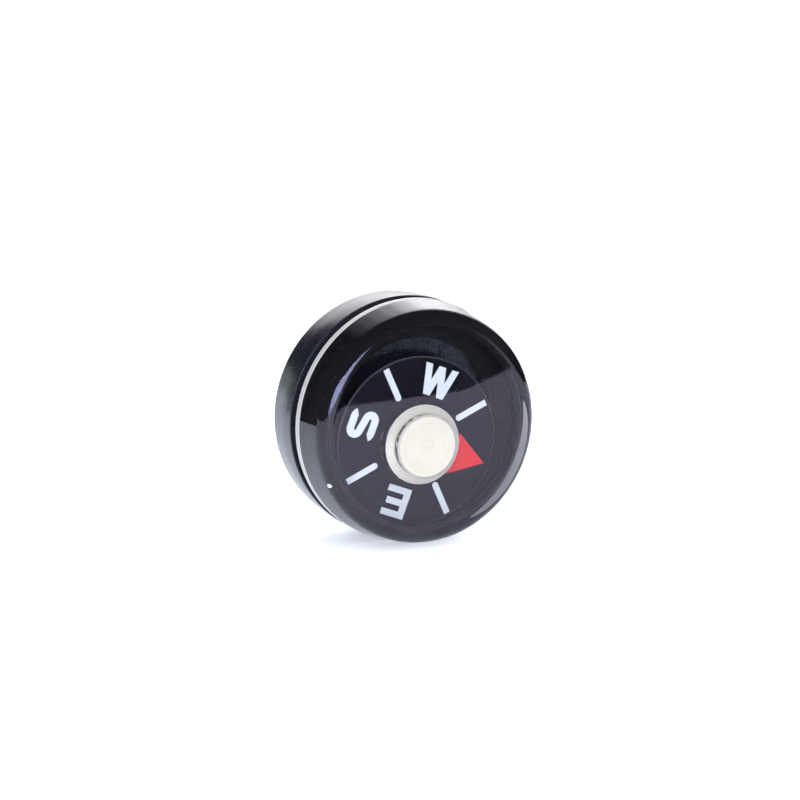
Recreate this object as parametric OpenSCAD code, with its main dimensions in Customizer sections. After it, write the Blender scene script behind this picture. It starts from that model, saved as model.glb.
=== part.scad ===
// Button compass: a black case with a waist groove, a clear front cap, and a card that turns on a pivot.
//
// Every sub-part is drawn lying on its back: the compass axis is Z, the back face is at z = 0 and the
// face looks up. stand() then turns it onto its rim, with the face towards -Y and the floor at z = 0.

/* [Outside] */
// Widest diameter, over the pale ring and the rear case
case_d = 20; // [20:0.5:22]
// Height of the groove's rear wall above the back face
groove_z = 4.4; // [4.2:0.1:4.6]
// Width of the waist groove
groove_w = 1.05; // [1:0.05:1.2]
// Depth of the waist groove
groove_depth = 1; // [0.8:0.1:1]
// Thickness of the pale ring in front of the groove
ring_h = 0.7; // [0.7:0.05:0.8]
// Radius of the round corner at the back
rear_corner = 1; // [0.5:0.1:1.5]
// Draft angle of the rear case's side, in degrees
rear_draft = 4; // [0:1:5]

/* [Clear cap] */
// Height of the clear cap, from the pale ring to its face
cap_h = 3.55; // [3.55:0.05:3.7]
// How far the cap's edge stands back from the pale ring
cap_setback = 0.15; // [0.05:0.05:0.2]
// Draft angle of the cap's side, in degrees
cap_draft = 8; // [4:1:8]
// Radius of the round corner around the cap's face
cap_corner = 1.2; // [0.8:0.1:1.3]
// Thickness of the window
window_t = 0.8; // [0.7:0.05:0.8]

/* [Card] */
// Radius of the card
card_r = 7.05; // [6.95:0.05:7.1]
// Where north points on the card, in degrees from the right-hand side
north_deg = -21.3; // [-180:0.1:180]
// How far the card hangs below the case's axis when the compass stands on its rim
hang = 1.6; // [1.3:0.05:1.6]
// Height of a letter
letter_h = 2.55; // [2.2:0.05:2.7]
// Width of a letter's strokes
letter_stroke_w = 0.6; // [0.4:0.02:0.64]
// Width of the strokes between the letters
tick_w = 0.52; // [0.4:0.02:0.6]

/* [Bearing boss] */
// Radius of the boss's collar
collar_r = 3.28; // [3.1:0.02:3.4]
// Radius of the boss's upper cylinder
crown_r = 2.62; // [2.6:0.02:2.7]
// Height of the boss above the card
boss_h = 2.6; // [2.4:0.05:2.6]

/* [Hidden] */
$fn = 96;

case_r = case_d / 2;

// Heights of the outside faces
ring_z = groove_z + groove_w;
cap_z = ring_z + ring_h;
face_z = cap_z + cap_h;
window_z = face_z - window_t;

// Rear case, the neck that it fits, and the wall between the two chambers
rear_wall = 1.1;
rear_floor_t = 1.6;
rear_bore_r = case_r - rear_wall;
rear_land_h = 1.4;
gate_r = 0.9;
gate_depth = 0.15;
neck_gap = 0.02;
neck_r = rear_bore_r - neck_gap;
neck_z = groove_z - 2;
waist_r = case_r - groove_depth;
bulkhead_t = 0.9;
well_z = groove_z;
well_r = case_r - 3.1;
bulkhead_z = well_z - bulkhead_t;

// Card stack: the boss just clears the window
window_gap = 0.1;
card_t = 0.2;
card_z = window_z - window_gap - boss_h;
card_bevel = 0.08;
print_t = 0.04;
magnet_t = 0.9;
magnet_r = 5;
retainer_t = 0.2;
retainer_r = 3.4;

// Dial cup, which lines the clear cap; its wall leans in above the card's edge
cup_r = case_r - 0.95;
cup_wall = 0.3;
cup_floor_t = 0.15;
cup_shoulder_z = card_z + 0.15;
cup_rim_z = window_z - 0.6;
cup_rim_r = cup_r - 0.55;
cup_rim_wall = 0.35;
cap_gap = 0.03;
cap_inner_draft = 12.4;
cap_inner_corner = 0.5;

// Boss: the bore is wide enough for the card to hang on the post by the distance hang
post_r = 0.4;
hang_gap = 0.05;
bore_r = post_r + hang + hang_gap;
spigot_r = 2.65;
foot_r = 3.3;
foot_h = 0.2;
collar_z = 0.95;
collar_h = 0.45;
collar_slope = 0.3;
crown_flare = 0.06;
crown_groove_h = 0.15;
crown_groove_depth = 0.08;
crown_chamfer = 0.15;
roof_z = 1.75;
spigot_end = card_t + magnet_t + retainer_t + 0.05;
centre_mark_r = 0.13;
centre_mark_depth = 0.08;

// Cup jewel and the pivot below it
jewel_r = 0.8;
jewel_h = 0.6;
jewel_drop = 0.2;
jewel_cup_r = 0.3;
jewel_cup_depth = 0.3;
pin_r = 0.25;
pin_gap = 0.03;
pin_tip_z = card_z + roof_z - jewel_drop - pin_gap;
pin_tip_r = 0.03;
pin_taper = 0.35;
pin_root_z = card_z - 0.6;
post_top_z = card_z + 0.4;
post_flange_r = 1.4;
post_flange_h = 0.3;
post_root_r = 0.7;
post_root_h = 0.6;

// Rear chamber
ledge_r = case_r - 3.4;
recess_r = case_r - 2.8;
diaphragm_t = 0.15;
diaphragm_rim_t = 0.2;
diaphragm_z = bulkhead_z - 0.5;
diaphragm_gap = 0.05;
ripple_h = 0.12;
ripples = 3;
ripple_step = 0.3;
ripple_margin = 0.6;
clamp_h = 0.5;
clamp_w = 0.9;
clamp_lip = 0.5;
clamp_step_h = 0.2;
o_ring_r = 0.24;
o_ring_z = groove_z - 1;
bleed_r = 0.4;
bleed_at = well_r - 1.1;
bleeds = 3;

// Filler screw, in the neck's rear end
filler_at = recess_r + 0.72;
filler_deg = 90;
filler_r = 0.4;
filler_head_r = 0.65;
filler_head_h = 0.4;
filler_washer_h = 0.1;
filler_hole = 1.6;
filler_shank = 1.4;
filler_duct_r = 0.25;
filler_slot_w = 0.2;
filler_slot_depth = 0.18;

// Printing on the card; the letters' widths are parts of their height, the S has round bowls
letter_w_wide = 0.98;
letter_e_wide = 0.84;
letter_s_wide = 0.97;
s_stroke_w = 1.06 * letter_stroke_w;
s_bowl_r = 0.42;
s_tip_deg = 30;
s_tip_steps = 5;
s_bowl_steps = 12;
tick_inner = 3.85;
tick_outer = 6.78;
mark_r = 5.15;
arrow_base = 3.5;
arrow_tip = 6.5;
arrow_half_w = 1.75;
arrow_round = 0.1;

eps = 0.01;

// ---------------------------------------------------------------- helpers

// Turns a sub-part from lying on its back to standing on its rim.
module stand() {
    translate([0, face_z / 2, case_r]) rotate([90, 0, 0]) children();
}

// The card's own frame: its centre hangs below the case's axis, z = 0 is its printed face, +X is north.
module on_card() {
    stand() translate([0, -hang, card_z]) rotate([0, 0, north_deg]) children();
}

// A turned shape with the profile [radius, height].
module turned(profile) {
    rotate_extrude() polygon(profile);
}

// A flat ring or disc between two heights.
module ring(r_in, r_out, z0, z1) {
    rotate_extrude() translate([r_in, z0]) square([r_out - r_in, z1 - z0]);
}

// Half section of a puck: radius r_edge at height 0, drafted side, round corner, flat end at height h.
module puck_section(r_edge, h, draft, corner) {
    corner_z = h - corner;
    touch_z = corner_z + corner * sin(draft);
    touch_r = r_edge - touch_z * tan(draft);
    corner_r = touch_r - corner * cos(draft);
    polygon([[0, 0], [r_edge, 0], [touch_r, touch_z], [corner_r, corner_z], [0, corner_z]]);
    square([corner_r, h]);
    translate([corner_r, corner_z]) circle(corner);
}

// ---------------------------------------------------------------- case

// Clear moulded cap: drafted wall, round shoulder and flat window.
module clear_cap() {
    inner_h = window_z - cap_z;
    color([0.75, 0.8, 0.9, 0.35]) stand() translate([0, 0, cap_z]) rotate_extrude() difference() {
        puck_section(case_r - cap_setback, cap_h, cap_draft, cap_corner);
        translate([0, -eps]) square([cup_r + cap_gap, 2 * eps]);
        puck_section(cup_r + cap_gap, inner_h, cap_inner_draft, cap_inner_corner);
    }
}

// Pale ring between the waist groove and the clear cap's edge.
module pale_ring() {
    edge = 0.08;
    color([0.93, 0.91, 0.87]) stand() turned([
        [cup_r, ring_z],
        [case_r - edge, ring_z],
        [case_r, ring_z + edge],
        [case_r, cap_z - edge],
        [case_r - edge, cap_z],
        [cup_r, cap_z]]);
}

// Black cup behind the clear cap: an open floor ring, a straight wall, and a rim that leans in.
module dial_cup() {
    color([0.1, 0.1, 0.12]) stand() difference() {
        turned([
            [well_r, ring_z],
            [cup_r, ring_z],
            [cup_r, cap_z],
            [cup_rim_r, cup_rim_z],
            [cup_rim_r - cup_rim_wall, cup_rim_z],
            [cup_r - cup_wall, cup_shoulder_z],
            [cup_r - cup_wall, ring_z + cup_floor_t],
            [well_r, ring_z + cup_floor_t]]);
        rotate([0, 0, filler_deg]) translate([filler_at, 0, ring_z - eps])
            cylinder(r = filler_duct_r, h = cup_floor_t + 2 * eps);
    }
}

// Black case body: the waist, the neck for the rear case, and the bulkhead that carries the pivot.
module case_body() {
    o_groove_r = rear_bore_r - 2 * o_ring_r;
    color([0.06, 0.06, 0.07]) stand() difference() {
        turned([
            [0, bulkhead_z],
            [ledge_r, bulkhead_z],
            [ledge_r, diaphragm_z + diaphragm_rim_t],
            [recess_r, diaphragm_z + diaphragm_rim_t],
            [recess_r, neck_z],
            [neck_r, neck_z],
            [neck_r, o_ring_z - o_ring_r],
            [o_groove_r, o_ring_z - o_ring_r],
            [o_groove_r, o_ring_z + o_ring_r],
            [neck_r, o_ring_z + o_ring_r],
            [neck_r, groove_z],
            [waist_r, groove_z],
            [waist_r, ring_z],
            [well_r, ring_z],
            [well_r, well_z],
            [0, well_z]]);
        translate([0, 0, well_z - post_root_h]) cylinder(r = post_root_r, h = post_root_h + eps);
        for (i = [0 : bleeds - 1]) rotate([0, 0, i * 360 / bleeds + 30])
            translate([bleed_at, 0, bulkhead_z - eps])
                cylinder(r = bleed_r, h = well_z - bulkhead_z + 2 * eps);
        rotate([0, 0, filler_deg]) translate([filler_at, 0, neck_z - eps]) {
            cylinder(r = filler_r, h = filler_hole + eps);
            cylinder(r = filler_duct_r, h = ring_z - neck_z + 2 * eps);
        }
    }
}

// Black rear case: a cup with a drafted side and a round corner, closed at the back.
module rear_case() {
    land_z = groove_z - rear_land_h;
    color([0.07, 0.07, 0.09]) stand() rotate_extrude() difference() {
        union() {
            translate([0, land_z]) square([case_r, groove_z - land_z]);
            translate([0, land_z]) mirror([0, 1]) puck_section(case_r, land_z, rear_draft, rear_corner);
        }
        translate([0, rear_floor_t]) square([rear_bore_r, groove_z]);
        translate([0, -eps]) square([gate_r, gate_depth + eps]);
    }
}

// O-ring in the neck's groove, which seals the rear case.
module rear_o_ring() {
    color([0.05, 0.05, 0.05]) stand() rotate_extrude()
        translate([rear_bore_r - o_ring_r, o_ring_z]) circle(o_ring_r);
}

// Rubber expansion diaphragm: round ripples inside a flat rim.
module diaphragm() {
    flat_r = ledge_r - ripple_margin;
    function wave(r) = ripple_h * (1 - cos(360 * ripples * r / flat_r)) / 2;
    steps = floor(flat_r / ripple_step);
    top = [for (i = [0 : steps]) let (r = i * flat_r / steps)
        [r, diaphragm_z - wave(r) + diaphragm_t]];
    under = [for (i = [0 : steps]) let (r = (steps - i) * flat_r / steps)
        [r, diaphragm_z - wave(r)]];
    color([0.12, 0.12, 0.13]) stand() {
        turned(concat(top, [
            [ledge_r, diaphragm_z + diaphragm_t],
            [ledge_r, diaphragm_z + diaphragm_rim_t],
            [recess_r - diaphragm_gap, diaphragm_z + diaphragm_rim_t],
            [recess_r - diaphragm_gap, diaphragm_z]], under));
    }
}

// Brass ring pressed into the recess, which clamps the diaphragm's rim.
module diaphragm_clamp() {
    edge = 0.1;
    inner_r = recess_r - clamp_w;
    lip_r = recess_r - clamp_lip - clamp_step_h;
    color([0.8, 0.65, 0.35]) stand() turned([
        [inner_r, diaphragm_z - clamp_h + edge],
        [inner_r + edge, diaphragm_z - clamp_h],
        [recess_r - edge, diaphragm_z - clamp_h],
        [recess_r, diaphragm_z - clamp_h + edge],
        [recess_r, diaphragm_z],
        [lip_r, diaphragm_z],
        [lip_r, diaphragm_z - clamp_step_h],
        [inner_r, diaphragm_z - clamp_step_h]]);
}

// Where the filler screw and its washer sit.
module at_filler() {
    stand() rotate([0, 0, filler_deg]) translate([filler_at, 0, neck_z]) children();
}

// Slotted brass screw that closes the filling duct.
module filler_screw() {
    color([0.8, 0.65, 0.35]) at_filler() difference() {
        union() {
            translate([0, 0, -filler_washer_h - filler_head_h])
                cylinder(r = filler_head_r, h = filler_head_h);
            translate([0, 0, -filler_washer_h])
                cylinder(r = filler_r, h = filler_shank + filler_washer_h);
        }
        translate([-filler_head_r - eps, -filler_slot_w / 2, -filler_washer_h - filler_head_h - eps])
            cube([2 * filler_head_r + 2 * eps, filler_slot_w, filler_slot_depth + eps]);
    }
}

// Sealing washer under the filler screw's head.
module filler_washer() {
    color([0.1, 0.1, 0.1]) at_filler() ring(filler_r, filler_head_r, -filler_washer_h, 0);
}

// Turned brass post, pressed into the bulkhead; the card's boss hangs on its stem.
module pivot_post() {
    color([0.8, 0.65, 0.35]) stand() turned([
        [0, well_z - post_root_h],
        [post_root_r, well_z - post_root_h],
        [post_root_r, well_z],
        [post_flange_r, well_z],
        [post_flange_r, well_z + post_flange_h],
        [post_r, well_z + post_flange_h],
        [post_r, post_top_z],
        [pin_r, post_top_z],
        [pin_r, pin_root_z],
        [0, pin_root_z]]);
}

// Hardened steel pivot with a conical point.
module pivot_pin() {
    color([0.75, 0.76, 0.78]) stand() turned([
        [0, pin_root_z],
        [pin_r, pin_root_z],
        [pin_r, pin_tip_z - pin_taper],
        [pin_tip_r, pin_tip_z],
        [0, pin_tip_z]]);
}

// ---------------------------------------------------------------- card

// Thin card with a bevelled rim and a hole for the boss.
module card_disc() {
    color([0.16, 0.15, 0.22]) on_card() turned([
        [spigot_r, -card_t],
        [card_r, -card_t],
        [card_r, -card_bevel],
        [card_r - card_bevel, 0],
        [spigot_r, 0]]);
}

// A straight letter stroke that runs on past both ends, for clipping to the letter's height, flat.
module bar(from, to) {
    run = to - from;
    over = letter_stroke_w;
    translate(from) rotate([0, 0, atan2(run[1], run[0])])
        translate([-over, -letter_stroke_w / 2]) square([norm(run) + 2 * over, letter_stroke_w]);
}

// Letter W, centred, with its top towards +Y: four bars clipped to the letter's height.
module letter_w() {
    wide = letter_w_wide * letter_h;
    top = letter_h / 2;
    points = [[-wide / 2, top], [-wide / 4, -top], [0, top], [wide / 4, -top], [wide / 2, top]];
    intersection() {
        for (i = [0 : 3]) bar(points[i], points[i + 1]);
        square([2 * wide, letter_h], center = true);
    }
}

// Letter E, centred, with its top towards +Y: a stem and three arms, the middle one shorter.
module letter_e() {
    wide = letter_e_wide * letter_h;
    arm_w = 0.9 * letter_stroke_w;
    arm_step = (letter_h - arm_w) / 2;
    middle = 0.92;
    translate([-wide / 2, -letter_h / 2]) {
        square([letter_stroke_w, letter_h]);
        for (i = [0, 2]) translate([0, i * arm_step]) square([wide, arm_w]);
        translate([0, arm_step]) square([middle * wide, arm_w]);
    }
}

// Letter S, centred, with its top towards +Y: two round bowls joined by a straight slanted spine.
module letter_s() {
    half_w = s_stroke_w / 2;
    x = letter_s_wide * letter_h / 2 - half_w - s_bowl_r;
    y = letter_h / 2 - half_w - s_bowl_r;
    spine_deg = atan2(y, -x) + asin(s_bowl_r / norm([x, y]));
    tip = [for (i = [0 : s_tip_steps]) [x, y, s_tip_deg + (90 - s_tip_deg) * i / s_tip_steps]];
    bowl = [for (i = [0 : s_bowl_steps]) [-x, y, 90 + spine_deg * i / s_bowl_steps]];
    half = concat(tip, bowl);
    outer = [for (a = half) [a[0], a[1]] + (s_bowl_r + half_w) * [cos(a[2]), sin(a[2])]];
    inner = [for (a = half) [a[0], a[1]] + (s_bowl_r - half_w) * [cos(a[2]), sin(a[2])]];
    last = len(half) - 1;
    polygon(concat(
        inner,
        [for (i = [last : -1 : 0]) -outer[i]],
        [for (i = [0 : last]) -inner[i]],
        [for (i = [last : -1 : 0]) outer[i]]));
}

// Puts a flat mark on the card at a bearing, measured clockwise from north, with its top outwards.
module at_bearing(bearing, r) {
    rotate([0, 0, -bearing]) translate([r, 0]) rotate([0, 0, -90]) children();
}

// White printed letters E, S and W; north has the arrow.
module card_letters() {
    color([0.92, 0.96, 0.98]) on_card() linear_extrude(print_t) {
        at_bearing(90, mark_r) letter_e();
        at_bearing(180, mark_r) letter_s();
        at_bearing(270, mark_r) letter_w();
    }
}

// White printed strokes between the letters, round at the inner end.
module card_ticks() {
    color([0.92, 0.96, 0.98]) on_card() linear_extrude(print_t)
        for (bearing = [45 : 90 : 315]) rotate([0, 0, -bearing]) {
            translate([tick_inner + tick_w / 2, -tick_w / 2])
                square([tick_outer - tick_inner - tick_w / 2, tick_w]);
            translate([tick_inner + tick_w / 2, 0]) circle(tick_w / 2, $fn = 32);
        }
}

// Red printed arrow head that points north.
module north_arrow() {
    color([0.9, 0.2, 0.22]) on_card() linear_extrude(print_t) polygon([
        [arrow_base, -arrow_half_w],
        [arrow_tip - arrow_round, -arrow_round * arrow_half_w / (arrow_tip - arrow_base)],
        [arrow_tip, 0],
        [arrow_tip - arrow_round, arrow_round * arrow_half_w / (arrow_tip - arrow_base)],
        [arrow_base, arrow_half_w]]);
}

// Turned and plated boss that carries the jewel and clamps the card: foot, collar and crown.
module bearing_boss() {
    collar_top = collar_z + collar_h;
    crown_z = collar_top + collar_slope;
    groove_r = crown_r - crown_groove_depth;
    color([0.9, 0.89, 0.86]) on_card() turned([
        [bore_r, -spigot_end],
        [spigot_r, -spigot_end],
        [spigot_r, 0],
        [foot_r, 0],
        [foot_r, foot_h],
        [crown_r, foot_h],
        [crown_r, collar_z],
        [collar_r, collar_z],
        [collar_r, collar_top],
        [crown_r + crown_flare, crown_z],
        [groove_r, crown_z],
        [groove_r, crown_z + crown_groove_h],
        [crown_r, crown_z + crown_groove_h],
        [crown_r, boss_h - crown_chamfer],
        [crown_r - crown_chamfer, boss_h],
        [centre_mark_r, boss_h],
        [0, boss_h - centre_mark_depth],
        [0, roof_z - jewel_drop + jewel_h],
        [jewel_r, roof_z - jewel_drop + jewel_h],
        [jewel_r, roof_z],
        [bore_r, roof_z]]);
}

// Cup jewel pressed into the boss's roof, with a conical cup for the pivot's point.
module cup_jewel() {
    under = roof_z - jewel_drop;
    color([0.75, 0.15, 0.3]) on_card() turned([
        [0, under + jewel_cup_depth],
        [jewel_cup_r, under],
        [jewel_r, under],
        [jewel_r, under + jewel_h],
        [0, under + jewel_h]]);
}

// Ring magnet under the card.
module ring_magnet() {
    color([0.25, 0.25, 0.27]) on_card() ring(spigot_r, magnet_r, -card_t - magnet_t, -card_t);
}

// Brass ring pressed on the boss's spigot, which holds the magnet and the card.
module magnet_retainer() {
    color([0.8, 0.65, 0.35]) on_card()
        ring(spigot_r, retainer_r, -card_t - magnet_t - retainer_t, -card_t - magnet_t);
}

clear_cap();
pale_ring();
dial_cup();
case_body();
rear_case();
rear_o_ring();
diaphragm();
diaphragm_clamp();
filler_screw();
filler_washer();
pivot_post();
pivot_pin();
card_disc();
card_letters();
card_ticks();
north_arrow();
bearing_boss();
cup_jewel();
ring_magnet();
magnet_retainer();
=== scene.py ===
"""Button compass on its rim: clear cap over a turning card, black rear case, pale ring and waist groove.

The CAD frame gives every place. The round pieces that show are turned again here with many more segments
and with softened edges, and everything gets a procedural material.
"""

import math

import bmesh
import bpy
from mathutils import Matrix, Vector, noise


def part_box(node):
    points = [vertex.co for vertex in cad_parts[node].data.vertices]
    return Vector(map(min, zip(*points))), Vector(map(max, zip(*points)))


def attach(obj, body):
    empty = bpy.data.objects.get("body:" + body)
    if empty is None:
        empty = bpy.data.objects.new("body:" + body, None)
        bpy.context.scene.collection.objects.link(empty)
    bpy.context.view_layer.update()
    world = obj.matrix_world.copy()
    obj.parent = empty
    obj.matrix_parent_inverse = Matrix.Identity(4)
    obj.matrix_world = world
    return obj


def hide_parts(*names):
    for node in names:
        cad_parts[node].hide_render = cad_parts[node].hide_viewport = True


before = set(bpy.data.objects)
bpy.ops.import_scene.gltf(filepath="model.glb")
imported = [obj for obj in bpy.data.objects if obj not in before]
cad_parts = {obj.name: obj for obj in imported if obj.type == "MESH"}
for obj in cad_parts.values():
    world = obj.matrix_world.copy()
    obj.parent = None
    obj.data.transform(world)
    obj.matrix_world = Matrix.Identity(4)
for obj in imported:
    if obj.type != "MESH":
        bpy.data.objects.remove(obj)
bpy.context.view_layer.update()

MM = 0.001
SEGMENTS = 240
SOFT = 0.05          # radius of a softened moulded edge, mm
CRISP = 0.03         # radius of a softened turned edge, mm
FITTED_INDEX = 1.22  # refractive index of the cap's inner face

# ---------------------------------------------------------------- places, from the CAD frame


def size_of(node):
    """(low corner, high corner) of a CAD node in mm."""
    low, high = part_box(node)
    return low / MM, high / MM


RING_LOW, RING_HIGH = size_of("pale_ring")
CAP_LOW, CAP_HIGH = size_of("clear_cap")
REAR_LOW, REAR_HIGH = size_of("rear_case")
CUP_LOW, CUP_HIGH = size_of("dial_cup")
CARD_LOW, CARD_HIGH = size_of("card_disc")
BOSS_LOW, BOSS_HIGH = size_of("bearing_boss")

BACK_Y = REAR_HIGH.y
FACE_Y = CAP_LOW.y
CASE_R = (RING_HIGH.x - RING_LOW.x) / 2
CASE_AXIS = (0.0, (RING_LOW.z + RING_HIGH.z) / 2)
CARD_R = (CARD_HIGH.x - CARD_LOW.x) / 2
CARD_AXIS = (0.0, (CARD_LOW.z + CARD_HIGH.z) / 2)

# ---------------------------------------------------------------- turned pieces


def soften(points, radius, closed=False, steps=4):
    """Rounds every sharp corner of a profile and puts a support point on each side of the round."""
    sharp = math.radians(14)
    out = []
    count = len(points)
    for i, point in enumerate(points):
        if not closed and i in (0, count - 1):
            out.append(point)
            continue
        here = Vector(point)
        back = Vector(points[i - 1]) - here
        ahead = Vector(points[(i + 1) % count]) - here
        turn = math.pi - back.angle(ahead)
        if turn < sharp:
            out.append(point)
            continue
        cut = radius * math.tan(min(turn, 2.4) / 2)
        cut = min(cut, 0.3 * back.length, 0.3 * ahead.length)
        start = here + back.normalized() * cut
        end = here + ahead.normalized() * cut
        out.append(tuple(here + back.normalized() * cut * 1.5))
        for k in range(steps + 1):
            t = k / steps
            out.append(tuple((1 - t) ** 2 * start + 2 * t * (1 - t) * here + t ** 2 * end))
        out.append(tuple(here + ahead.normalized() * cut * 1.5))
    return out


def split_long(points, longest=0.7):
    """Puts points along the long spans of a profile, so that no face reaches from one edge to the next."""
    out = [points[0]]
    for point in points[1:]:
        start = Vector(out[-1])
        span = Vector(point) - start
        parts = max(1, math.ceil(span.length / longest))
        for k in range(1, parts + 1):
            out.append(tuple(start + span * k / parts))
    return out


def arc(centre, radius, start, end, steps):
    """Points (r, h) on a round corner, angles in degrees from the outward direction towards the face."""
    points = []
    for k in range(steps + 1):
        a = math.radians(start + (end - start) * k / steps)
        points.append((centre[0] + radius * math.cos(a), centre[1] + radius * math.sin(a)))
    return points


def turned(name, profile, base_y, axis, closed=False):
    """A turned piece: profile of (radius, height) in mm; height is measured from base_y towards the face."""
    profile = split_long(profile)
    verts = []
    rings = []
    for radius, height in profile:
        y = base_y - height
        if radius < 1e-6:
            rings.append([len(verts)] * SEGMENTS)
            verts.append((axis[0] * MM, y * MM, axis[1] * MM))
            continue
        rings.append(list(range(len(verts), len(verts) + SEGMENTS)))
        for k in range(SEGMENTS):
            a = 2 * math.pi * k / SEGMENTS
            verts.append(((axis[0] + radius * math.sin(a)) * MM, y * MM,
                          (axis[1] + radius * math.cos(a)) * MM))
    faces = []
    spans = len(rings) if closed else len(rings) - 1
    for j in range(spans):
        lower = rings[j]
        upper = rings[(j + 1) % len(rings)]
        for k in range(SEGMENTS):
            n = (k + 1) % SEGMENTS
            corners = []
            for v in (lower[k], lower[n], upper[n], upper[k]):
                if v not in corners:
                    corners.append(v)
            if len(corners) > 2:
                faces.append(corners)
    mesh = bpy.data.meshes.new(name)
    mesh.from_pydata(verts, [], faces)
    mesh.validate()
    shape = bmesh.new()
    shape.from_mesh(mesh)
    bmesh.ops.recalc_face_normals(shape, faces=shape.faces)
    shape.to_mesh(mesh)
    shape.free()
    mesh.shade_smooth()
    obj = bpy.data.objects.new(name, mesh)
    bpy.context.scene.collection.objects.link(obj)
    return obj


def finish_piece(obj, body, node, material):
    """Attaches a new piece to its body, hides the CAD node that it stands for, and gives it its material."""
    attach(obj, body)
    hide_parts(node)
    obj.data.materials.append(material)
    return obj


# ---------------------------------------------------------------- material helpers


class Paint:
    """A material with a Principled shader and short calls for the nodes that feed it."""

    def __init__(self, name):
        self.mat = bpy.data.materials.new(name)
        self.mat.use_nodes = True
        self.nodes = self.mat.node_tree.nodes
        self.links = self.mat.node_tree.links
        self.shader = self.nodes["Principled BSDF"]
        self.height = None
        coords = self.nodes.new("ShaderNodeTexCoord")
        scale = self.nodes.new("ShaderNodeVectorMath")
        scale.operation = "SCALE"
        scale.inputs["Scale"].default_value = 1 / MM
        self.links.new(coords.outputs["Object"], scale.inputs[0])
        self.mm = scale.outputs[0]
        self.facing = coords.outputs["Normal"]

    def put(self, **values):
        """Sets constant values on the shader's own sockets, with _ for a space in a name."""
        for key, value in values.items():
            self.shader.inputs[key.replace("_", " ")].default_value = value

    def noise(self, scale, detail=3.0, vector=None, distortion=0.0):
        node = self.nodes.new("ShaderNodeTexNoise")
        node.inputs["Scale"].default_value = scale
        node.inputs["Detail"].default_value = detail
        node.inputs["Distortion"].default_value = distortion
        self.links.new(vector or self.mm, node.inputs["Vector"])
        return node.outputs["Fac"]

    def specks(self, scale, size):
        """1 inside small round specks, one at most in each cell, 0 elsewhere."""
        cells = self.nodes.new("ShaderNodeTexVoronoi")
        cells.inputs["Scale"].default_value = scale
        cells.inputs["Randomness"].default_value = 1.0
        self.links.new(self.mm, cells.inputs["Vector"])
        return self.span(cells.outputs["Distance"], size, size * 0.5, 0.0, 1.0)

    def span(self, value, from_low, from_high, to_low, to_high):
        """Maps a range of value to another range, clamped."""
        node = self.nodes.new("ShaderNodeMapRange")
        node.inputs["From Min"].default_value = from_low
        node.inputs["From Max"].default_value = from_high
        node.inputs["To Min"].default_value = to_low
        node.inputs["To Max"].default_value = to_high
        self.links.new(value, node.inputs["Value"])
        return node.outputs["Result"]

    def math(self, operation, a, b):
        node = self.nodes.new("ShaderNodeMath")
        node.operation = operation
        for socket, value in zip(node.inputs, (a, b)):
            if isinstance(value, (int, float)):
                socket.default_value = value
            else:
                self.links.new(value, socket)
        return node.outputs[0]

    def mix(self, factor, a, b):
        """Mixes two colours; each is a tuple or a socket."""
        node = self.nodes.new("ShaderNodeMix")
        node.data_type = "RGBA"
        self.links.new(factor, node.inputs["Factor"])
        for socket, value in ((node.inputs[6], a), (node.inputs[7], b)):
            if isinstance(value, tuple):
                socket.default_value = value
            else:
                self.links.new(value, socket)
        return node.outputs[2]

    def edges(self):
        """1 on the rounds and chamfers of a turned piece, 0 on its flat ends and its sides."""
        split = self.nodes.new("ShaderNodeSeparateXYZ")
        self.links.new(self.facing, split.inputs[0])
        along = self.math("ABSOLUTE", split.outputs["Y"], 0.0)
        off_side = self.span(along, 0.3, 0.6, 0.0, 1.0)
        off_end = self.span(along, 0.97, 0.85, 0.0, 1.0)
        return self.math("MULTIPLY", off_side, off_end)

    def radius(self, axis):
        """Distance in mm from an axis that runs from back to front."""
        centre = self.nodes.new("ShaderNodeVectorMath")
        centre.operation = "SUBTRACT"
        centre.inputs[1].default_value = (axis[0], 0.0, axis[1])
        self.links.new(self.mm, centre.inputs[0])
        flat = self.nodes.new("ShaderNodeVectorMath")
        flat.operation = "MULTIPLY"
        flat.inputs[1].default_value = (1.0, 0.0, 1.0)
        self.links.new(centre.outputs[0], flat.inputs[0])
        radius = self.nodes.new("ShaderNodeVectorMath")
        radius.operation = "LENGTH"
        self.links.new(flat.outputs[0], radius.inputs[0])
        return radius.outputs["Value"]

    def turning(self, axis, fine):
        """A vector (radius x fine, height x fine, 0) about an axis, which gives a lathe's circular marks."""
        split = self.nodes.new("ShaderNodeSeparateXYZ")
        self.links.new(self.mm, split.inputs[0])
        join = self.nodes.new("ShaderNodeCombineXYZ")
        self.links.new(self.math("MULTIPLY", self.radius(axis), fine), join.inputs[0])
        self.links.new(self.math("MULTIPLY", split.outputs["Y"], fine), join.inputs[1])
        return join.outputs[0]

    def colour(self, socket):
        self.links.new(socket, self.shader.inputs["Base Color"])

    def roughness(self, socket):
        self.links.new(socket, self.shader.inputs["Roughness"])

    def bump(self, value, depth, strength=1.0):
        """Adds relief of the given depth in mm."""
        node = self.nodes.new("ShaderNodeBump")
        node.inputs["Distance"].default_value = depth * MM
        node.inputs["Strength"].default_value = strength
        self.links.new(value, node.inputs["Height"])
        if self.height:
            self.links.new(self.height, node.inputs["Normal"])
        self.height = node.outputs[0]
        self.links.new(self.height, self.shader.inputs["Normal"])


def rgb(r, g, b):
    return (r, g, b, 1.0)


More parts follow.
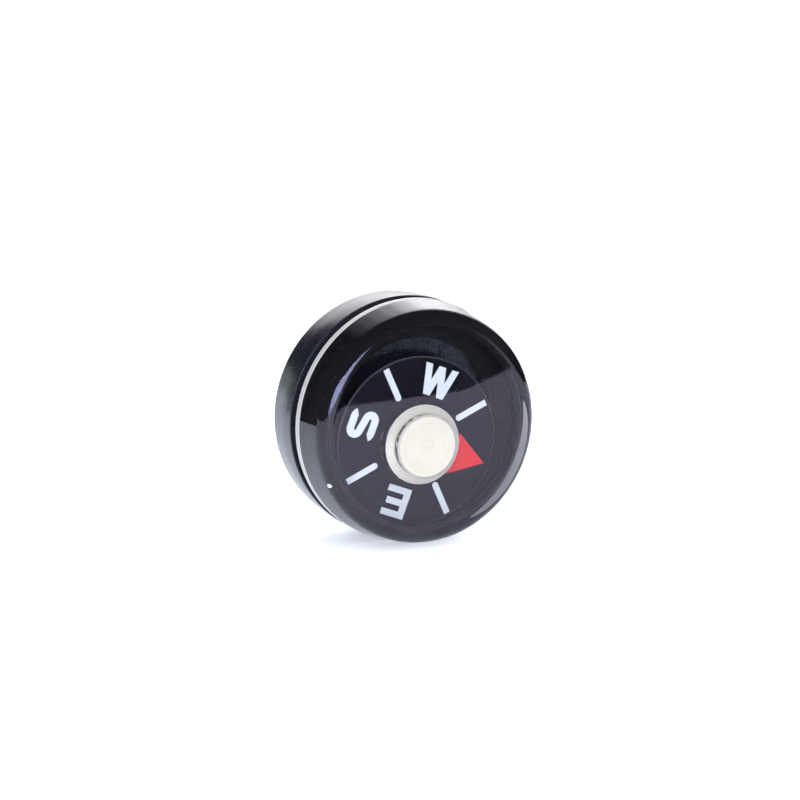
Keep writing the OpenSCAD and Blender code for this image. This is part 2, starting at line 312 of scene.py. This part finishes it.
def black_moulding():
    """Polished black plastic: slow waves in the surface, haze, scuffs and paler edges."""
    paint = Paint("black_moulding")
    paint.put(IOR=1.5)
    haze = paint.noise(0.5, 4.0)
    scuffs = paint.noise(9.0, 6.0)
    dust = paint.specks(2.2, 0.045)
    base = paint.mix(haze, rgb(0.006, 0.006, 0.009), rgb(0.012, 0.012, 0.018))
    base = paint.mix(paint.math("MULTIPLY", paint.edges(), 0.12), base, rgb(0.10, 0.10, 0.12))
    paint.colour(paint.mix(paint.math("MULTIPLY", dust, 0.4), base, rgb(0.45, 0.45, 0.5)))
    rough = paint.span(scuffs, 0.35, 0.75, 0.15, 0.34)
    paint.roughness(paint.math("ADD", rough, paint.math("MULTIPLY", paint.edges(), 0.04)))
    paint.bump(haze, 0.05, 0.35)
    paint.bump(scuffs, 0.002, 0.5)
    return paint.mat


def cup_moulding(name):
    """Fine matt black plastic behind the clear cap."""
    paint = Paint(name)
    paint.put(Specular_IOR_Level=0.12)
    grain = paint.noise(26.0, 4.0)
    paint.colour(paint.mix(grain, rgb(0.008, 0.0075, 0.009), rgb(0.014, 0.013, 0.015)))
    paint.roughness(paint.span(grain, 0.3, 0.7, 0.35, 0.55))
    paint.bump(grain, 0.004, 0.6)
    return paint.mat


def clear_plastic():
    """Clear polished acrylic with faint haze, hairline scratches and specks."""
    paint = Paint("clear_plastic")
    paint.put(IOR=1.49, Transmission_Weight=1.0, Specular_IOR_Level=0.42, Specular_Tint=rgb(0.95, 0.88, 1.0))
    haze = paint.noise(0.7, 4.0)
    hairs = paint.noise(7.0, 2.0, distortion=2.0)
    paint.colour(paint.mix(haze, rgb(0.97, 0.975, 1.0), rgb(0.94, 0.95, 0.99)))
    dust = paint.specks(1.9, 0.05)
    paint.links.new(paint.math("SUBTRACT", 1.0, paint.math("MULTIPLY", dust, 0.35)),
                    paint.shader.inputs["Transmission Weight"])
    paint.roughness(paint.span(haze, 0.4, 0.8, 0.008, 0.045))
    paint.bump(hairs, 0.0003, 0.3)
    return paint.mat


def gate_scar():
    """Torn, frosted end of the cap's moulding gate."""
    paint = Paint("gate_scar")
    torn = paint.noise(14.0, 5.0)
    paint.colour(paint.mix(torn, rgb(0.80, 0.83, 0.90), rgb(0.93, 0.94, 0.97)))
    paint.roughness(paint.span(torn, 0.3, 0.7, 0.4, 0.7))
    paint.bump(torn, 0.02, 0.6)
    return paint.mat


def wetted_plastic():
    """The cap's inner face, which never shines.

    Its index lies between those of a dry and a liquid-filled case. It is fitted, not physical: it puts the
    image of the card in place.
    """
    paint = Paint("wetted_plastic")
    paint.put(IOR=FITTED_INDEX, Transmission_Weight=1.0, Specular_Tint=rgb(0, 0, 0))
    haze = paint.noise(0.7)
    paint.colour(paint.mix(haze, rgb(0.97, 0.975, 1.0), rgb(0.94, 0.95, 0.99)))
    paint.roughness(paint.span(haze, 0.4, 0.8, 0.005, 0.02))
    return paint.mat


def natural_nylon():
    """Creamy satin nylon with a fine mould grain."""
    paint = Paint("natural_nylon")
    paint.put(Subsurface_Weight=0.25, Subsurface_Scale=0.0004)
    tone = paint.noise(1.3, 4.0)
    grain = paint.noise(30.0, 4.0)
    base = paint.mix(tone, rgb(0.36, 0.335, 0.31), rgb(0.46, 0.43, 0.40))
    paint.colour(paint.mix(paint.math("MULTIPLY", paint.edges(), 0.5), base, rgb(0.66, 0.64, 0.61)))
    paint.roughness(paint.span(grain, 0.3, 0.7, 0.3, 0.45))
    paint.bump(grain, 0.003, 0.5)
    return paint.mat


def navy_card():
    """Dark navy printed card with a fine tooth, a few pale fibres and a painted highlight inside its
    bevelled rim.
    """
    paint = Paint("navy_card")
    paint.put(Specular_IOR_Level=0.12)
    tooth = paint.noise(22.0, 5.0)
    cloud = paint.noise(0.6, 3.0)
    fibres = paint.specks(3.1, 0.05)
    base = paint.mix(cloud, rgb(0.006, 0.005, 0.009), rgb(0.010, 0.008, 0.014))
    # painted highlight: a paler band just inside the rim stands for light caught by the card's bevel
    painted_rim_highlight = paint.span(paint.radius(CARD_AXIS), CARD_R - 0.14, CARD_R - 0.06, 0.0, 0.6)
    base = paint.mix(painted_rim_highlight, base, rgb(0.16, 0.16, 0.19))
    paint.colour(paint.mix(paint.math("MULTIPLY", fibres, 0.35), base, rgb(0.3, 0.3, 0.36)))
    paint.roughness(paint.span(tooth, 0.3, 0.7, 0.45, 0.62))
    paint.bump(tooth, 0.004, 0.5)
    return paint.mat


def ink(name, light, dark):
    """Screen-printed ink: slightly uneven cover and a fine orange peel."""
    paint = Paint(name)
    cover = paint.noise(5.0, 5.0)
    peel = paint.noise(24.0, 3.0)
    paint.colour(paint.mix(paint.span(cover, 0.35, 0.7, 0.0, 1.0), dark, light))
    paint.roughness(paint.span(peel, 0.3, 0.7, 0.38, 0.55))
    paint.bump(peel, 0.004, 0.5)
    return paint.mat


def turned_metal(name, axis, light, dark, rough, metallic=1.0):
    """Lathe-turned metal: circular tool marks, faint stains and a painted highlight on its rounds and
    chamfers.

    A low metallic value gives a pale satin that stays evenly bright, whatever it faces.
    """
    paint = Paint(name)
    paint.put(Metallic=metallic)
    marks = paint.noise(1.0, 4.0, paint.turning(axis, 16.0))
    stain = paint.noise(0.9, 4.0)
    base = paint.mix(paint.span(stain, 0.3, 0.75, 0.0, 1.0), light, dark)
    # painted highlight: rounds and chamfers are mixed towards near white whatever light falls on them
    paint.colour(paint.mix(paint.math("MULTIPLY", paint.edges(), 0.4), base, rgb(0.98, 0.97, 0.95)))
    paint.roughness(paint.span(marks, 0.3, 0.7, rough, rough + 0.14))
    paint.bump(marks, 0.0004, 0.15)
    return paint.mat


def polished_nickel():
    """Bright plating on the boss's walls and lower steps; painted patches stand for a mirrored card."""
    paint = Paint("bright_nickel")
    paint.put(Metallic=1.0)
    patches = paint.span(paint.noise(2.0, 2.0, distortion=0.6), 0.54, 0.60, 0.0, 1.0)
    paint.colour(paint.mix(patches, rgb(0.07, 0.05, 0.04), rgb(0.80, 0.75, 0.68)))
    paint.roughness(paint.span(paint.noise(12.0, 3.0), 0.3, 0.7, 0.08, 0.18))
    return paint.mat


def steel():
    """Ground hard steel."""
    paint = Paint("ground_steel")
    paint.put(Metallic=1.0)
    grind = paint.noise(18.0, 4.0)
    paint.colour(paint.mix(grind, rgb(0.50, 0.50, 0.52), rgb(0.66, 0.66, 0.68)))
    paint.roughness(paint.span(grind, 0.3, 0.7, 0.2, 0.34))
    paint.bump(grind, 0.001, 0.4)
    return paint.mat


def jewel():
    """Polished red synthetic jewel."""
    paint = Paint("red_jewel")
    paint.put(IOR=1.76, Transmission_Weight=0.7)
    veil = paint.noise(3.0, 3.0)
    paint.colour(paint.mix(veil, rgb(0.50, 0.02, 0.08), rgb(0.70, 0.05, 0.14)))
    paint.roughness(paint.span(veil, 0.3, 0.7, 0.03, 0.08))
    return paint.mat


def sintered(name, low, high, rough):
    """Grainy ferrite or rubber."""
    paint = Paint(name)
    grain = paint.noise(15.0, 6.0)
    paint.colour(paint.mix(grain, low, high))
    paint.roughness(paint.span(grain, 0.3, 0.7, rough, rough + 0.15))
    paint.bump(grain, 0.006, 0.6)
    return paint.mat


BLACK = black_moulding()
CUP = cup_moulding("cup_moulding")
BACKING = cup_moulding("cap_backing")
CLEAR = clear_plastic()
WET = wetted_plastic()
SCAR = gate_scar()
NYLON = natural_nylon()
NAVY = navy_card()
WHITE = ink("white_ink", rgb(0.93, 0.95, 0.94), rgb(0.84, 0.88, 0.88))
RED = ink("red_ink", rgb(0.96, 0.018, 0.015), rgb(0.88, 0.012, 0.010))
SATIN = turned_metal("satin_nickel", CARD_AXIS, rgb(0.90, 0.815, 0.63), rgb(0.87, 0.775, 0.59), 0.24,
                     metallic=0.22)
NICKEL = polished_nickel()
BRASS = turned_metal("turned_brass", CASE_AXIS, rgb(0.78, 0.58, 0.28), rgb(0.62, 0.44, 0.20), 0.2)
STEEL = steel()
JEWEL = jewel()
FERRITE = sintered("ferrite_grain", rgb(0.04, 0.04, 0.045), rgb(0.10, 0.10, 0.11), 0.45)
RUBBER = sintered("black_rubber", rgb(0.012, 0.012, 0.012), rgb(0.028, 0.028, 0.028), 0.6)

# ---------------------------------------------------------------- case pieces

CAP_SEAM = 0.02      # keeps the cap's base off the ring's face, mm
CAP_BASE_Y = CAP_HIGH.y - CAP_SEAM
CAP_EDGE_R = CASE_R - 0.03   # 0.12 wider than the CAD's, which narrows the ring's step that shows, mm
CAP_H = CAP_BASE_Y - FACE_Y
CAP_DRAFT = 8.0
CAP_CORNER = 1.2
WINDOW_T = 0.8
CAP_BORE_R = CASE_R - 0.92
CAP_BORE_DRAFT = 12.4
CAP_BORE_CORNER = 0.5
CLEAR_BASE_R = CASE_R - 0.55


def puck_side(edge_r, height, draft, corner, steps):
    """Profile of a drafted side and its round corner, from the edge at height 0 to the flat end."""
    slope = math.radians(draft)
    centre_h = height - corner
    touch_h = centre_h + corner * math.sin(slope)
    touch_r = edge_r - touch_h * math.tan(slope)
    centre_r = touch_r - corner * math.cos(slope)
    return [(edge_r, 0.0)] + arc((centre_r, centre_h), corner, draft, 90.0, steps)


def cap_skin(across, up, height):
    """Which skin a spot of the cap has: 0 clear, 1 inner window, 2 black backing on inner wall and base.

    The base's low right part stays clear, so the pale ring shows through the wall there.
    """
    radius = math.hypot(across, up)
    bore_r = CAP_BORE_R - height * math.tan(math.radians(CAP_BORE_DRAFT))
    if height < 0.01:
        low_right = -100 < math.degrees(math.atan2(up, across)) < 24
        return 0 if low_right and radius > CLEAR_BASE_R else 2
    if radius > bore_r + 0.02 or height > CAP_H - WINDOW_T + 0.01:
        return 0
    return 2 if height < CAP_H - WINDOW_T - 0.02 else 1


def make_clear_cap():
    outer = puck_side(CAP_EDGE_R, CAP_H, CAP_DRAFT, CAP_CORNER, 20)
    inner = puck_side(CAP_BORE_R, CAP_H - WINDOW_T, CAP_BORE_DRAFT, CAP_BORE_CORNER, 10)
    outer.append((outer[-1][0] - 0.3, CAP_H))
    inner.append((inner[-1][0] - 0.3, CAP_H - WINDOW_T))
    profile = [(0.0, CAP_H - WINDOW_T)] + inner[::-1] + [(CLEAR_BASE_R, 0.0)] + outer + [(0.0, CAP_H)]
    obj = turned("cap_shell", soften(profile, SOFT), CAP_BASE_Y, CASE_AXIS)
    for face in obj.data.polygons:
        x, y, z = face.center / MM
        face.material_index = cap_skin(x - CASE_AXIS[0], z - CASE_AXIS[1], CAP_BASE_Y - y)
    return obj


def make_gate_mark():
    """The small torn stub that the mould's gate left on the cap's shoulder."""
    bearing = math.radians(-114.7)
    lean = math.radians(30)
    slope = math.radians(CAP_DRAFT)
    centre_h = CAP_H - CAP_CORNER
    touch_r = CAP_EDGE_R - (centre_h + CAP_CORNER * math.sin(slope)) * math.tan(slope)
    radius = touch_r - CAP_CORNER * math.cos(slope) + CAP_CORNER * math.cos(lean)
    height = centre_h + CAP_CORNER * math.sin(lean)
    outward = Vector((math.sin(bearing), 0, math.cos(bearing)))
    normal = outward * math.cos(lean) - Vector((0, 1, 0)) * math.sin(lean)
    place = Vector((CASE_AXIS[0], CAP_BASE_Y - height, CASE_AXIS[1])) + outward * radius
    shape = bmesh.new()
    bmesh.ops.create_icosphere(shape, subdivisions=4, radius=1.0)
    for vert in shape.verts:
        torn = 1 + 0.14 * noise.noise(vert.co * 2.3)
        vert.co = Vector((vert.co.x * 0.21 * torn, vert.co.y * 0.17 * torn, vert.co.z * 0.06))
    mesh = bpy.data.meshes.new("gate_mark")
    shape.to_mesh(mesh)
    shape.free()
    mesh.transform(Matrix.Translation(place) @ normal.to_track_quat("Z", "Y").to_matrix().to_4x4())
    mesh.transform(Matrix.Scale(MM, 4))
    mesh.shade_smooth()
    obj = bpy.data.objects.new("gate_mark", mesh)
    bpy.context.scene.collection.objects.link(obj)
    return obj


def make_ring():
    height = RING_HIGH.y - RING_LOW.y
    inner_r = (CUP_HIGH.x - CUP_LOW.x) / 2
    profile = [(inner_r, 0.0), (CASE_R, 0.0), (CASE_R, height), (inner_r, height)]
    return turned("pale_band", soften(profile, 0.12, True), RING_HIGH.y, CASE_AXIS, True)


def make_rear_case():
    height = BACK_Y - REAR_LOW.y
    land = 1.4
    wall = 1.1
    rear_floor = 1.6
    gate_r = 0.9
    gate_depth = 0.15
    vent = 0.06
    side = puck_side(CASE_R, height - land, 4.0, 1.0, 16)
    side = [(r, height - land - h) for r, h in side]
    profile = [(0.0, gate_depth), (gate_r, gate_depth), (gate_r, 0.0), (side[-1][0] - 0.3, 0.0)]
    profile += side[::-1]
    profile += [(CASE_R, height - vent), (CASE_R - vent, height)]
    profile += [(CASE_R - wall, height), (CASE_R - wall, rear_floor), (0.0, rear_floor)]
    return turned("rear_cup", soften(profile, SOFT), BACK_Y, CASE_AXIS)


def make_card():
    thick = CARD_HIGH.y - CARD_LOW.y
    hole_r = 2.65
    bevel = 0.08
    profile = [(hole_r, 0.0), (CARD_R, 0.0), (CARD_R, thick - bevel), (CARD_R - bevel, thick),
               (hole_r, thick)]
    return turned("card_plate", soften(profile, 0.02, True), CARD_HIGH.y, CARD_AXIS, True)


COLLAR_LOW = 0.95    # height of the collar's underside above the card, mm
WALL_FACING = 0.3    # a face of the boss whose normal lies less than this along the axis is a wall


def make_boss():
    """The turned boss above the card, with its tool groove, and its spigot below."""
    card_y = CARD_LOW.y
    top = card_y - BOSS_LOW.y
    spigot_end = BOSS_HIGH.y - card_y
    spigot_r = 2.65
    bore_r = 2.05
    roof = 1.75
    foot_r = (BOSS_HIGH.x - BOSS_LOW.x) / 2
    crown_r = 2.62
    collar_r = 3.28
    profile = [(0.0, roof), (bore_r, roof), (bore_r, -spigot_end), (spigot_r, -spigot_end),
               (spigot_r, 0.0), (foot_r, 0.0), (foot_r, 0.2), (crown_r, 0.2), (crown_r, COLLAR_LOW),
               (collar_r, COLLAR_LOW), (collar_r, 1.4), (crown_r + 0.06, 1.7), (crown_r - 0.08, 1.7),
               (crown_r - 0.08, 1.85), (crown_r, 1.85), (crown_r, top - 0.15), (crown_r - 0.15, top),
               (0.14, top), (0.0, top - 0.08)]
    return turned("boss_turned", soften(profile, CRISP), card_y, CARD_AXIS)


def make_dial_cup():
    floor_y = CUP_HIGH.y
    cup_r = (CUP_HIGH.x - CUP_LOW.x) / 2
    ring_h = RING_HIGH.y - RING_LOW.y
    rim_h = CUP_HIGH.y - CUP_LOW.y
    shoulder_h = floor_y - CARD_LOW.y + 0.15
    well_r = CASE_R - 3.1
    wall = 0.3
    floor = 0.15
    profile = [(well_r, 0.0), (cup_r, 0.0), (cup_r, ring_h), (cup_r - 0.55, rim_h),
               (cup_r - 0.9, rim_h), (cup_r - wall, shoulder_h), (cup_r - wall, floor), (well_r, floor)]
    return turned("cup_liner", soften(profile, 0.03, True), floor_y, CASE_AXIS, True)


cap = finish_piece(make_clear_cap(), "case", "clear_cap", CLEAR)
cap.data.materials.append(WET)
cap.data.materials.append(BACKING)
cap.visible_shadow = False
gate_mark = make_gate_mark()
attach(gate_mark, "case")
gate_mark.data.materials.append(SCAR)
finish_piece(make_ring(), "case", "pale_ring", NYLON)
finish_piece(make_rear_case(), "case", "rear_case", BLACK)
finish_piece(make_dial_cup(), "case", "dial_cup", CUP)
finish_piece(make_card(), "card", "card_disc", NAVY)
boss = finish_piece(make_boss(), "card", "bearing_boss", SATIN)
boss.data.materials.append(NICKEL)
for face in boss.data.polygons:
    low = face.center.y / MM > CARD_LOW.y - COLLAR_LOW
    face.material_index = 1 if low or abs(face.normal.y) < WALL_FACING else 0

NODE_MATERIALS = {
    "case_body": BLACK,
    "rear_o_ring": RUBBER,
    "diaphragm": RUBBER,
    "diaphragm_clamp": BRASS,
    "filler_screw": BRASS,
    "filler_washer": RUBBER,
    "pivot_post": BRASS,
    "pivot_pin": STEEL,
    "card_letters": WHITE,
    "card_ticks": WHITE,
    "north_arrow": RED,
    "cup_jewel": JEWEL,
    "ring_magnet": FERRITE,
    "magnet_retainer": BRASS,
}
for node, material in NODE_MATERIALS.items():
    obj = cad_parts[node]
    obj.data.materials.clear()
    obj.data.materials.append(material)

# ---------------------------------------------------------------- floor, lights and camera


def panel(name, corners, material):
    """A flat stage card through corners in mm."""
    mesh = bpy.data.meshes.new(name)
    mesh.from_pydata([Vector(c) * MM for c in corners], [], [list(range(len(corners)))])
    obj = bpy.data.objects.new(name, mesh)
    bpy.context.scene.collection.objects.link(obj)
    mesh.materials.append(material)
    return obj


def flag(name, corners):
    """A dark card that only reflections show: it throws no shadow and stays out of the picture."""
    obj = panel(name, corners, FLAG)
    obj.visible_camera = False
    obj.visible_diffuse = False
    obj.visible_shadow = False
    return obj


def floor_material():
    paint = Paint("studio_floor")
    tone = paint.noise(0.02, 3.0)
    paint.put(Emission_Color=rgb(0.90, 0.93, 1.0), Emission_Strength=0.45)
    paint.colour(paint.mix(tone, rgb(0.90, 0.915, 0.94), rgb(0.94, 0.95, 0.965)))
    paint.roughness(paint.span(tone, 0.3, 0.7, 0.55, 0.7))
    return paint.mat


def flag_material():
    paint = Paint("dark_flag")
    tone = paint.noise(0.05, 3.0)
    paint.put(Specular_IOR_Level=0.0)
    paint.colour(paint.mix(tone, rgb(0.004, 0.004, 0.004), rgb(0.012, 0.012, 0.012)))
    paint.roughness(paint.span(tone, 0.3, 0.7, 0.8, 0.9))
    return paint.mat


FLOOR = floor_material()
FLAG = flag_material()
REACH = 1500
panel("floor", [(-REACH, -REACH, 0), (REACH, -REACH, 0), (REACH, REACH, 0), (-REACH, REACH, 0)], FLOOR)
flag("flag_front", [(0, -56, 0), (30, -60, 0), (44, -72, 0), (44, -72, 16), (0, -56, 16)])
flag("flag_left", [(-84, 58, 0), (-46, 82, 0), (-46, 82, 85), (-84, 58, 85)])
flag("flag_back", [(-46, 82, 24), (-12, 92, 24), (-12, 92, 85), (-46, 82, 85)])


def soft_light(name, place, aim, size, radiance, colour):
    """A softbox at place, turned towards aim, in mm, which lights the set and stays out of reflections."""
    data = bpy.data.lights.new(name, "AREA")
    data.shape = "RECTANGLE"
    data.size = size[0] * MM
    data.size_y = size[1] * MM
    data.energy = radiance * math.pi * data.size * data.size_y
    data.color = colour
    obj = bpy.data.objects.new(name, data)
    obj.location = Vector(place) * MM
    obj.rotation_euler = (Vector(aim) - Vector(place)).to_track_quat("-Z", "Y").to_euler()
    obj.visible_glossy = False
    obj.visible_camera = False
    obj.visible_transmission = False
    bpy.context.scene.collection.objects.link(obj)
    return obj


def glow(name, place, aim, size, radiance, colour, fade):
    """A bright panel that only reflections show; it fades out towards all four sides."""
    paint = Paint(name)
    paint.put(Specular_IOR_Level=0.0, Base_Color=rgb(0, 0, 0), Emission_Color=rgb(*colour))
    coords = paint.nodes.new("ShaderNodeTexCoord")
    split = paint.nodes.new("ShaderNodeSeparateXYZ")
    paint.links.new(coords.outputs["Generated"], split.inputs[0])
    strength = paint.span(paint.noise(0.02, 2.0), 0.3, 0.7, radiance * 0.8, radiance)
    for axis in "XY":
        off_centre = paint.math("ABSOLUTE", paint.math("SUBTRACT", split.outputs[axis], 0.5), 0.0)
        strength = paint.math("MULTIPLY", strength, paint.span(off_centre, 0.5 - fade, 0.5, 1.0, 0.0))
    paint.links.new(strength, paint.shader.inputs["Emission Strength"])
    half_w = size[0] / 2
    half_h = size[1] / 2
    corners = [(-half_w, -half_h, 0), (half_w, -half_h, 0), (half_w, half_h, 0), (-half_w, half_h, 0)]
    obj = panel(name, corners, paint.mat)
    obj.location = Vector(place) * MM
    obj.rotation_euler = (Vector(aim) - Vector(place)).to_track_quat("-Z", "Y").to_euler()
    obj.visible_camera = False
    obj.visible_diffuse = False
    obj.visible_transmission = False
    obj.visible_shadow = False
    return obj


COOL = (0.80, 0.86, 1.0)
soft_light("overhead", (190, 60, 490), (0, 0, 0), (800, 800), 1.6, COOL)
soft_light("window", (-250, -540, 105), (0, 0, 10), (430, 190), 8.5, (0.86, 0.91, 1.0))
soft_light("top_front", (40, -330, 430), (0, 0, 10), (420, 300), 3.0, (0.90, 0.94, 1.0))
soft_light("back_fill", (-300, 420, 260), (0, 8, 0), (420, 320), 4.0, (0.72, 0.80, 1.0))
glow("window_glint", (-205, -560, 115), (0, 0, 10), (560, 250), 13.0, (0.60, 0.68, 1.0), 0.2)
glow("back_grey", (-165, 475, 70), (0, 0, 10), (260, 260), 0.9, (0.93, 1.0, 0.94), 0.25)
glow("back_wall", (330, 640, 330), (0, 0, 10), (1200, 900), 5.0, (0.97, 0.98, 1.0), 0.5)

world = bpy.data.worlds.new("studio")
world.use_nodes = True
world.node_tree.nodes["Background"].inputs["Color"].default_value = rgb(0.85, 0.9, 1.0)
world.node_tree.nodes["Background"].inputs["Strength"].default_value = 0.5
world.cycles_visibility.glossy = False
world.cycles_visibility.transmission = False
scene = bpy.context.scene
scene.world = world
scene.view_settings.view_transform = "Standard"
scene.cycles.caustics_reflective = False

AZIMUTH = math.radians(-25)
ELEVATION = math.radians(12)
DISTANCE = 250       # from the aim point, mm
LENS = 138.4
AIM_RIGHT = -0.81    # aim point from the middle of the ring, in the picture's directions, mm
AIM_UP = 1.58
ring_middle = Vector((0, (RING_LOW.y + RING_HIGH.y) / 2, CASE_AXIS[1]))
to_camera = Vector((math.sin(AZIMUTH) * math.cos(ELEVATION), -math.cos(AZIMUTH) * math.cos(ELEVATION),
                    math.sin(ELEVATION)))
right = Vector((math.cos(AZIMUTH), math.sin(AZIMUTH), 0))
up = to_camera.cross(right)
target = ring_middle + AIM_RIGHT * right + AIM_UP * up

camera = bpy.data.cameras.new("camera")
camera.sensor_width = 36
camera.lens = LENS
camera.clip_start = 0.01
camera.clip_end = 10
camera_obj = bpy.data.objects.new("camera", camera)
camera_obj.location = (target + DISTANCE * to_camera) * MM
camera_obj.rotation_euler = (-to_camera).to_track_quat("-Z", "Y").to_euler()
scene.collection.objects.link(camera_obj)
scene.camera = camera_obj
